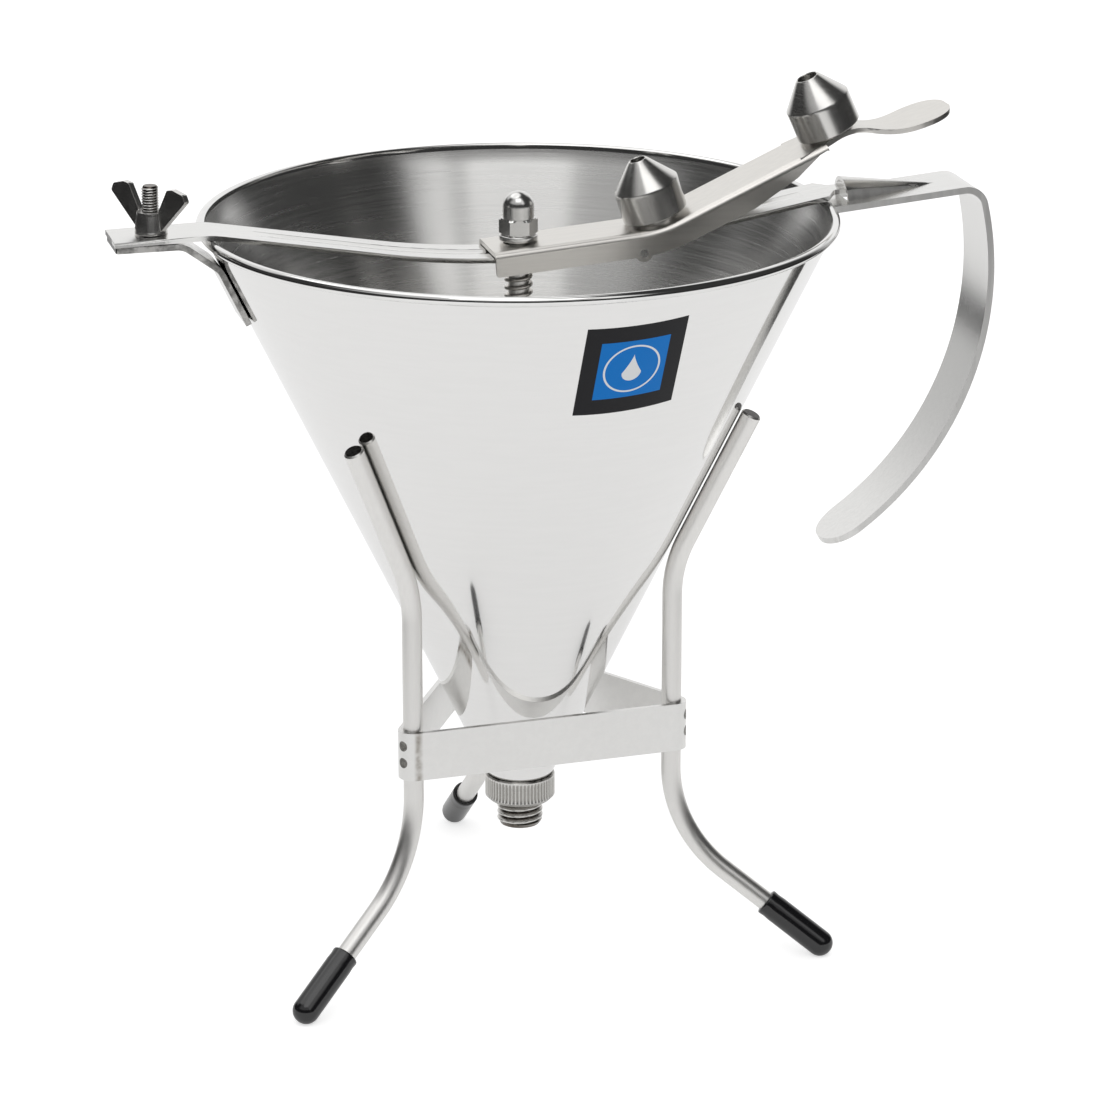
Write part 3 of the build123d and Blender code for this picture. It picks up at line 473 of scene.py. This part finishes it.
def piece(name, bm, materials, body, slot, *replaced, sharp=SHARP):
    """Turns a bmesh in millimetres into a smooth-shaded piece that rides on a body."""
    bmesh.ops.remove_doubles(bm, verts=bm.verts, dist=JOIN)
    bmesh.ops.recalc_face_normals(bm, faces=bm.faces)
    bmesh.ops.scale(bm, vec=(MM, MM, MM), verts=bm.verts)
    mesh = bpy.data.meshes.new(name)
    bm.to_mesh(mesh)
    bm.free()
    mesh.polygons.foreach_set("use_smooth", [True] * len(mesh.polygons))
    mesh.set_sharp_from_angle(angle=sharp)
    made = bpy.data.objects.new(name, mesh)
    scene.collection.objects.link(made)
    for m in materials if isinstance(materials, (list, tuple)) else [materials]:
        mesh.materials.append(m)
    if replaced:
        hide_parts(*replaced)
    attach(made, body)
    return made


def steps(low, high, count):
    """count + 1 even values from low to high."""
    return [low + (high - low) * i / count for i in range(count + 1)]


def arc(x, y, r, start, end, count):
    """Points of an arc, with its angles in degrees."""
    return [(x + r * cos(radians(a)), y + r * sin(radians(a))) for a in steps(start, end, count)]


def turned(profile, segments, shape=None, closed=True, bands=None):
    """Surface of the profile [(radius, height), ...] about Z. shape(radius, height, angle) may change
    a radius. bands gives each stretch of the profile its material's index."""
    bm = bmesh.new()
    rings = []
    for r, z in profile:
        ring = []
        for i in range(segments):
            a = 2 * pi * i / segments
            own = shape(r, z, a) if shape else r
            ring.append(bm.verts.new((own * cos(a), own * sin(a), z)))
        rings.append(ring)
    pairs = list(zip(rings, rings[1:]))
    if closed:
        pairs.append((rings[-1], rings[0]))
    turn = bm.loops.layers.uv.new(TURN_MAP)
    for k, (one, two) in enumerate(pairs):
        for i in range(segments):
            j = (i + 1) % segments
            face = bm.faces.new((one[i], one[j], two[j], two[i]))
            face.material_index = bands[k] if bands and k < len(bands) else 0
            for loop, u, v in zip(face.loops, (i, i + 1, i + 1, i), (k, k, k + 1, k + 1)):
                loop[turn].uv = (u / segments, v / len(pairs))
    return bm


def thread(major, depth, pitch, low, high):
    """Shape of a screw thread between two heights, which runs out over half a turn."""

    def shape(r, z, a):
        if r < major - 1.5 * depth:
            return r
        phase = (z / pitch - a / (2 * pi)) % 1
        ridge = min(1.0, THREAD_CREST * (1 - abs(2 * phase - 1)))
        near = min(z - low, high - z) / (pitch / 2)
        return min(r, major - depth * (1 - ridge) * min(1.0, max(0.0, near)))

    return shape


def tube(points, radii, sides, start=None, cut=0):
    """Round bar along points, with a radius at each, and flat ends. cut is the material's index of
    the first end."""
    bm = bmesh.new()
    ways = [(b - a).normalized() for a, b in zip(points, points[1:])]
    ways = [ways[0]] + [(a + b).normalized() for a, b in zip(ways, ways[1:])] + [ways[-1]]
    across = start or ways[0].orthogonal()
    rings = []
    for point, way_here, r in zip(points, ways, radii):
        across = (across - way_here * across.dot(way_here)).normalized()
        other = way_here.cross(across)
        ring = []
        for i in range(sides):
            a = 2 * pi * i / sides
            ring.append(bm.verts.new(point + r * (cos(a) * across + sin(a) * other)))
        rings.append(ring)
    for one, two in zip(rings, rings[1:]):
        for i in range(sides):
            j = (i + 1) % sides
            bm.faces.new((one[i], one[j], two[j], two[i]))
    bm.faces.new(rings[0]).material_index = cut
    bm.faces.new(rings[-1])
    return bm


def bent(points, radii, turn_step):
    """Points of a path with its corners rounded by arcs."""
    made = [points[0]]
    for before, corner, after, r in zip(points, points[1:], points[2:], radii):
        a = (corner - before).normalized()
        b = (after - corner).normalized()
        turn = acos(max(-1.0, min(1.0, a.dot(b))))
        reach = r * tan(turn / 2)
        inward = (b - a).normalized()
        centre = corner + inward * (r / cos(turn / 2))
        one, two = corner - a * reach - centre, corner + b * reach - centre
        count = max(2, round(turn / turn_step))
        axis = a.cross(b).normalized()
        made += [centre + Matrix.Rotation(turn * k / count, 3, axis) @ one for k in range(count)]
        made.append(centre + two)
    made.append(points[-1])
    return made


def rounded(name, node, finish, width, edge=None, prepare=None):
    """A plate's CAD mesh with its hard edges rolled over by width. edge is the finish of its cut long
    sides. prepare changes the mesh first, and gives the vertices between which edges stay."""
    bm = bmesh.new()
    bm.from_mesh(nodes[node].data)
    bmesh.ops.scale(bm, vec=(1 / MM,) * 3, verts=bm.verts)
    bmesh.ops.remove_doubles(bm, verts=bm.verts, dist=CAD_JOIN)
    bmesh.ops.dissolve_limit(bm, angle_limit=FLAT, verts=bm.verts, edges=bm.edges)
    soft = prepare(bm) if prepare else set()
    bm.normal_update()
    hard = [
        e for e in bm.edges
        if len(e.link_faces) == 2 and e.calc_face_angle() > HARD and not soft.issuperset(e.verts)
    ]
    bmesh.ops.bevel(
        bm, geom=hard, offset=width, offset_type="OFFSET", segments=2, profile=0.5,
        affect="EDGES", clamp_overlap=True,
    )
    bm.normal_update()
    for face in bm.faces:
        face.material_index = 1 if edge and abs(face.normal.y) > 0.8 else 0
    body = nodes[node]["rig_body"]
    finishes = [finish, edge] if edge else [finish]
    slot = nodes[node].data.materials[0].name
    made = piece(name, bm, finishes, body, slot, node, sharp=PLATE_SHARP)
    made.modifiers.new("flat_faces", "WEIGHTED_NORMAL").keep_sharp = True
    return made


# ---- Bowl ---------------------------------------------------------------------------------------
bowl_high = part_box("funnel_bowl")[1]
BEAD_R = 1.45
SPOUT_R = 10.0
SPOUT_Z = 53.2
WALL = 1.0
RIM_R = bowl_high.x / MM - BEAD_R
RIM_Z = bowl_high.z / MM - BEAD_R
CONE_RATE = (RIM_R - SPOUT_R) / (RIM_Z - SPOUT_Z)
CONE_LEAN = atan(CONE_RATE)
WALL_ACROSS = WALL / cos(CONE_LEAN)
BEAD_ARC = (-100, 140)       # degrees
CONE_ROWS = 40


def cone_r(z):
    """Outside radius of the cone."""
    return SPOUT_R + (z - SPOUT_Z) * CONE_RATE


def on_cone(z, off=0.0):
    return (cone_r(z) + off, z)


outside = [on_cone(z) for z in steps(SPOUT_Z, RIM_Z - 1.2 * BEAD_R, CONE_ROWS)]
bead = arc(RIM_R, RIM_Z, BEAD_R, *BEAD_ARC, 24)
inside = [on_cone(z, -WALL_ACROSS) for z in steps(RIM_Z - 0.3, SPOUT_Z, CONE_ROWS)]
bowl_bands = [0] * len(outside) + [1] * len(bead) + [2] * (len(inside) - 1) + [0]
piece(
    "bowl_shell", turned(outside + bead + inside, 256, bands=bowl_bands),
    [bowl_outside, rim_bright, bowl_inside], "funnel", "bowl_steel", "funnel_bowl",
)

# ---- Label --------------------------------------------------------------------------------------
LABEL_AZIMUTH = radians(-81.45)
LABEL_Z = 202.84
LABEL_TURN = radians(2.3)
LABEL_THICK = 0.08
LABEL_CELLS = 20


def on_label(u, v, lift):
    """Point over the cone at u, v on the flat label, which wraps round the cone without stretching."""
    lean = sin(CONE_LEAN)
    sideways = u * cos(LABEL_TURN) - v * sin(LABEL_TURN)
    along = cone_r(LABEL_Z) / lean + u * sin(LABEL_TURN) + v * cos(LABEL_TURN)
    azimuth = LABEL_AZIMUTH + atan2(sideways, along) / lean
    r = hypot(along, sideways) * lean
    z = SPOUT_Z + (r - SPOUT_R) / CONE_RATE - lift * lean
    r += lift * cos(CONE_LEAN)
    return Vector((r * cos(azimuth), r * sin(azimuth), z))


label = bmesh.new()
label_map = label.loops.layers.uv.new(LABEL_MAP)
inner = steps(0, 1, LABEL_CELLS)
cells = [0] + inner + [1]
grid = []
for row, v in enumerate(cells):
    edge_row = row in (0, len(cells) - 1)
    grid.append([
        label.verts.new(on_label(
            (u - 0.5) * LABEL_WIDTH, (v - 0.5) * LABEL_HEIGHT,
            0.0 if edge_row or column in (0, len(cells) - 1) else LABEL_THICK,
        ))
        for column, u in enumerate(cells)
    ])
for row in range(len(cells) - 1):
    for column in range(len(cells) - 1):
        corners = ((row, column), (row, column + 1), (row + 1, column + 1), (row + 1, column))
        face = label.faces.new([grid[r][c] for r, c in corners])
        for loop, (r, c) in zip(face.loops, corners):
            loop[label_map].uv = (cells[c], cells[r])
piece("label_sticker", label, sticker, "funnel", None)

# ---- Plates -------------------------------------------------------------------------------------
GROOVE_HALF = 3.5
GROOVE_FLOOR_HALF = 2.7
GROOVE_DEPTH = 0.5
GROOVE_START = -79.2
GROOVE_END = 87.2
GROOVE_FADE = 11.0
GROOVE_CUTS = (96, 14)       # along and across the bar


def press_groove(bm):
    """Turns the bar's square hollow into a soft pressed valley that fades out at both ends."""
    along_cuts, across_cuts = GROOVE_CUTS
    cuts = [((0, y, 0), (0, 1, 0)) for y in steps(-GROOVE_HALF, GROOVE_HALF, across_cuts)]
    cuts += [((x, 0, 0), (1, 0, 0)) for x in steps(GROOVE_START, GROOVE_END, along_cuts)]
    for point, way in cuts:
        everything = bm.verts[:] + bm.edges[:] + bm.faces[:]
        bmesh.ops.bisect_plane(bm, geom=everything, plane_co=point, plane_no=way, dist=1e-4)
    bm.normal_update()
    moves = {}
    for face in bm.faces:
        middle = face.calc_center_median()
        in_groove = abs(middle.y) <= GROOVE_HALF and GROOVE_START < middle.x < GROOVE_END
        if face.normal.z < 0.5 or not in_groove:
            continue
        floor = GROOVE_DEPTH if abs(middle.y) < GROOVE_FLOOR_HALF else 0.0
        for v in face.verts:
            moves[v] = floor
    for v, floor in moves.items():
        across = 0.5 + 0.5 * cos(pi * min(1.0, abs(v.co.y) / GROOVE_HALF))
        along = min(v.co.x - GROOVE_START, GROOVE_END - v.co.x) / GROOVE_FADE
        along = max(0.0, min(1.0, along))
        v.co.z += floor - GROOVE_DEPTH * across * along * along * (3 - 2 * along)
    return set(moves)


rounded("cross_bar_plate", "cross_bar", strap_steel, width=0.28, prepare=press_groove)
rounded("bracket_plate", "bar_bracket", strap_steel, width=0.15, edge=rough_edge_steel)
rounded("handle_plate", "handle_strap", strap_steel, width=0.4, edge=edge_steel)
rounded("lever_body", "lever_channel", lever_steel, width=0.2)
rounded("band_strip", "stand_band", band_steel, width=0.25)
rounded("wing_nut_body", "wing_nut", cast_steel, width=0.5)

# ---- Stand --------------------------------------------------------------------------------------
LEG_R = 3.0
REST_GAP = 0.3
SPLAY_Z = 38.0
LEG_TOP_Z = 171.6
BEND_R = 40.0
FOOT_R = 93.8
FOOT_Z = 3.9
CAP_R = 4.1
CAP_LENGTH = 25.0
LEG_INSET = 1.0
splay = atan((SPLAY_Z - FOOT_Z) / (FOOT_R - WAIST_R))
lean_off = (LEG_R + REST_GAP) / cos(CONE_LEAN)
knee_z = SPOUT_Z + (WAIST_R - lean_off - SPOUT_R) / CONE_RATE
LEG_CHAMFER = 0.5
BAND_THICK = 1.5
WELD_HEIGHTS = {"upper": 75.4, "lower": 70.1}
WELD_PROFILE = [(1.65, -0.05), (1.5, 0.07), (1.0, 0.03), (0.5, 0.05), (0.01, 0.05)]   # reach, lift
WELD_SIDES = 24
CAP_MOUTH = 6.0              # depth of the straight hole at the lip
LIP_R = (CAP_R - LEG_R) / 2
lip = CAP_R - CAP_LENGTH
cap_profile = (
    [(LEG_R, lip + CAP_MOUTH), (LEG_R, lip + 0.4)]
    + arc(LEG_R + LIP_R, lip + LIP_R, LIP_R, 180, 360, 10)
    + [(CAP_R - 0.12, lip + 2.2), (CAP_R, lip + 4)]
    + [(CAP_R, z) for z in steps(lip + CAP_MOUTH, 0, 6)]
    + arc(0, 0, CAP_R, 0, 90, 16)[1:-1] + [(AXIS_R, CAP_R), (AXIS_R, 0)]
)


def weld_spot(out, z):
    """Plug weld through the band where it wraps a leg: low rings on the band's round corner."""
    wrap_r = LEG_R + BAND_THICK
    bm = bmesh.new()
    rings = []
    for reach, lift in WELD_PROFILE:
        ring = []
        for i in range(WELD_SIDES):
            a = 2 * pi * i / WELD_SIDES
            way = Matrix.Rotation(reach * cos(a) / wrap_r, 3, "Z") @ out
            raised = Vector((0, 0, z + reach * sin(a)))
            ring.append(bm.verts.new(out * WAIST_R + way * (wrap_r + lift) + raised))
        rings.append(ring)
    for one, two in zip(rings, rings[1:]):
        for i in range(WELD_SIDES):
            j = (i + 1) % WELD_SIDES
            bm.faces.new((one[i], one[j], two[j], two[i]))
    return bm


for side, degrees in LEG_ANGLES.items():
    a = radians(degrees)
    out = Vector((cos(a), sin(a), 0))
    up = Vector((0, 0, 1))
    corners = [
        out * (cone_r(LEG_TOP_Z) + lean_off) + up * LEG_TOP_Z,
        out * WAIST_R + up * knee_z,
        out * WAIST_R + up * SPLAY_Z,
        out * (FOOT_R - cos(splay) * LEG_INSET) + up * (FOOT_Z + sin(splay) * LEG_INSET),
    ]
    line = bent(corners, [BEND_R, BEND_R], radians(2))
    first = (line[1] - line[0]).normalized() * LEG_CHAMFER
    line = [line[0], line[0] + first] + line[1:]
    radii = [LEG_R - LEG_CHAMFER] + [LEG_R] * (len(line) - 1)
    # the top end's face takes the near-black colour of the painted dark reflection
    leg = tube(line, radii, 40, start=out, cut=1)
    piece(f"leg_rod_{side}", leg, [rod_steel, painted_dark_end_steel], "stand", "rod_steel", f"leg_{side}")
    for height, z in WELD_HEIGHTS.items():
        piece(f"weld_{side}_{height}", weld_spot(out, z), weld_steel, "stand", None)

    cap = turned(cap_profile, 48)
    along_foot = out * cos(splay) - up * sin(splay)
    turn = along_foot.to_track_quat("Z", "Y").to_matrix().to_4x4()
    place = Matrix.Translation(out * FOOT_R + up * FOOT_Z) @ turn
    bmesh.ops.transform(cap, matrix=place, verts=cap.verts)
    for v in cap.verts:
        v.co.z = max(v.co.z, 0.0)      # flat where it stands
    piece(f"foot_cap_skin_{side}", cap, cap_vinyl, "stand", "cap_vinyl", f"foot_cap_{side}")

# ---- Outlet -------------------------------------------------------------------------------------
RING_TOP = 53.0
RING_BASE = 44.6
STUB_BASE = 36.4
STUB_PITCH = 2.0
BORE_R = 4.5
SOCKET_R = 8.05
SOCKET_FLOOR = 46.6
FLUTES = 58
FLUTE_ROUND = 0.7            # below 1 the ridges between flutes are narrow
STUB_CHAMFER = 0.9
RING_CHAMFER = 1.2
stub_thread = thread(STUB_R, STUB_DEPTH, STUB_PITCH, STUB_BASE, RING_BASE)


def coupling_shape(r, z, a):
    """Straight knurl round the ring and the thread on the stub."""
    if z < RING_BASE - 0.01:
        return stub_thread(r, z, a)
    if r > RING_R - 0.05 and RING_BASE + 1.3 < z < RING_TOP - 0.6:
        return r - FLUTE_DEPTH * abs(sin(FLUTES * a / 2)) ** FLUTE_ROUND
    return r


stub_rows = [(STUB_R, z) for z in steps(STUB_BASE + STUB_CHAMFER, RING_BASE - 0.02, 40)]
coupling_profile = (
    [(BORE_R, STUB_BASE), (STUB_R - STUB_CHAMFER, STUB_BASE)]
    + stub_rows
    + [(STUB_R, RING_BASE), (RING_R - RING_CHAMFER, RING_BASE), (RING_R - 0.1, RING_BASE + 1.15)]
    + [(RING_R, z) for z in steps(RING_BASE + 1.25, RING_TOP - 0.5, 8)]
    + [(RING_R - 0.5, RING_TOP), (SOCKET_R, RING_TOP), (SOCKET_R, SOCKET_FLOOR), (BORE_R, SOCKET_FLOOR)]
)
after_stub = len(coupling_profile) - len(stub_rows) - 2
coupling_bands = [1] + [0] * (len(stub_rows) + 1) + [1] * after_stub
piece(
    "coupling_body", turned(coupling_profile, FLUTES * 6, coupling_shape, bands=coupling_bands),
    [stub_steel, knurl_steel], "coupling", "turned_steel", "outlet_coupling",
)

# ---- Clamp stud ---------------------------------------------------------------------------------
STUD_PITCH = 0.8
STUD_ROWS = 170
STUD_CHAMFER = (0.6, 0.5)    # inwards, down
stud_base, stud_top = stud_low.z / MM, stud_high.z / MM
chamfer_in, chamfer_down = STUD_CHAMFER
stud = turned(
    [(AXIS_R, stud_base)]
    + [(STUD_R, z) for z in steps(stud_base, stud_top - chamfer_down, STUD_ROWS)]
    + [(STUD_R - chamfer_in, stud_top), (AXIS_R, stud_top)],
    40, thread(STUD_R, STUD_DEPTH, STUD_PITCH, stud_base, stud_top), closed=False,
)
bmesh.ops.translate(stud, vec=(STUD_X, 0, 0), verts=stud.verts)
piece("clamp_screw", stud, screw_steel, "funnel", "bright_steel", "clamp_stud")

# ---- Nozzles ------------------------------------------------------------------------------------
NOZZLE_R = 9.8
SKIRT = 9.6
NOZZLE_TOP = 17.5
EDGE = 0.25
TIP_LAND = 2.2
TIPS = {"small": (2.75, 2.25), "large": (3.5, 3.0)}      # radii of the tip and of its orifice
joints = {joint["name"]: joint for joint in frame["joints"]}


def nozzle_profile(tip_r, orifice_r):
    return [
        (STUB_R + 0.5, 0), (NOZZLE_R - 0.3, 0), (NOZZLE_R, 0.3), (NOZZLE_R, 1.0),
        (NOZZLE_R, SKIRT - 1), (NOZZLE_R, SKIRT - EDGE / 2), (NOZZLE_R - EDGE / 2, SKIRT + EDGE / 3),
        (tip_r + EDGE, NOZZLE_TOP - 1.2 * EDGE), (tip_r - EDGE / 2, NOZZLE_TOP),
        (orifice_r + 0.15, NOZZLE_TOP), (orifice_r, NOZZLE_TOP - 0.15),
        (orifice_r, NOZZLE_TOP - TIP_LAND), (STUB_R, SKIRT - 0.4), (STUB_R, 0.5),
    ]


for size, (tip_r, orifice_r) in TIPS.items():
    turning = joints[f"nozzle_{size}_turn"]      # about the peg, at the nozzle's foot
    axis = Vector(turning["axis"])
    tilt = Matrix.Rotation(atan2(axis.x, axis.z), 4, "Y")
    place = Matrix.Translation(Vector(turning["pos_m"]) / MM) @ tilt
    body = turned(nozzle_profile(tip_r, orifice_r), 128)
    bmesh.ops.transform(body, matrix=place, verts=body.verts)
    piece(
        f"nozzle_body_{size}", body, turned_steel, f"nozzle_{size}", "turned_steel", f"nozzle_{size}",
    )

# ---- Piston -------------------------------------------------------------------------------------
nut_low, nut_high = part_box("cap_nut")
NUT_FLATS = 10.0
NUT_TURN = radians(-10)
HEX_HEIGHT = 5.0
DOME_R = 4.7
NUT_CHAMFER = 0.5            # height of it, at both faces of the hexagon
CORNER_OFF = 0.03            # taken off the corners there
FACE_RIM = 0.05              # of the round faces past the flats
nut_z = nut_low.z / MM
nut_corner = NUT_FLATS / 2 / cos(radians(30))


def hexagon(r, z, a):
    """Flats of the nut below its dome."""
    if z > nut_z + HEX_HEIGHT + 0.01:
        return r
    beside = (a - NUT_TURN) % (pi / 3) - pi / 6
    return min(r, NUT_FLATS / 2 / cos(beside))


dome_z = nut_high.z / MM - DOME_R
hex_low, hex_high = nut_z + NUT_CHAMFER, nut_z + HEX_HEIGHT - NUT_CHAMFER
nut_profile = (
    [(AXIS_R, nut_z), (NUT_FLATS / 2 + FACE_RIM, nut_z), (nut_corner - CORNER_OFF, hex_low)]
    + [(nut_corner, z) for z in steps(hex_low + 0.1, hex_high - 0.1, 6)]
    + [(nut_corner - CORNER_OFF, hex_high), (NUT_FLATS / 2 + FACE_RIM, nut_z + HEX_HEIGHT)]
    + [(DOME_R, nut_z + HEX_HEIGHT + 0.05), (DOME_R, dome_z)]
    + arc(0, dome_z, DOME_R, 4, 88, 18) + [(AXIS_R, dome_z + DOME_R)]
)
piece(
    "cap_nut_body", turned(nut_profile, 144, hexagon, closed=False), bright_steel,
    "piston", "bright_steel", "cap_nut",
)

WASHER_HOLE_R = 3.0
WASHER_EDGE = 0.4
washer_low, washer_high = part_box("rod_washer")
edge_r = washer_high.x / MM - WASHER_EDGE
w0, w1 = washer_low.z / MM, washer_high.z / MM
washer_profile = (
    [(WASHER_HOLE_R, w0)]
    + arc(edge_r, w0 + WASHER_EDGE, WASHER_EDGE, -90, 0, 5)
    + arc(edge_r, w1 - WASHER_EDGE, WASHER_EDGE, 0, 90, 5)
    + [(WASHER_HOLE_R, w1)]
)
piece("washer_ring", turned(washer_profile, 96), bright_steel, "piston", "bright_steel", "rod_washer")

spring_low, spring_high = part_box("return_spring")
WIRE_R = 0.6
COIL_R = 3.7
TURNS = 17
PER_TURN = 36
base, top = spring_low.z / MM + WIRE_R, spring_high.z / MM - WIRE_R
coil = [
    Vector((COIL_R * cos(2 * pi * i / PER_TURN), COIL_R * sin(2 * pi * i / PER_TURN), z))
    for i, z in enumerate(steps(base, top, TURNS * PER_TURN))
]
spring_coil = piece(
    "spring_coil", tube(coil, [WIRE_R] * len(coil), 12, start=Vector((1, 0, 0))), spring_steel,
    nodes["return_spring"]["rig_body"], "spring_steel", "return_spring",
)
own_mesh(spring_coil)

# ---- CAD nodes that stay ------------------------------------------------------------------------
KEPT = {
    "outlet_collar": machined_steel,
    "outlet_seal": seal_rubber,
    "pivot_saddle": strap_steel,
    "pivot_pin": bright_steel,
    "nozzle_peg_small": machined_steel,
    "nozzle_peg_large": machined_steel,
    "piston_rod": rod_steel,
    "valve_plug": machined_steel,
    "spring_seat": bright_steel,
    "spring_pin": bright_steel,
}
for node, finish in KEPT.items():
    for slot in nodes[node].material_slots:
        slot.link = "OBJECT"
        slot.material = finish
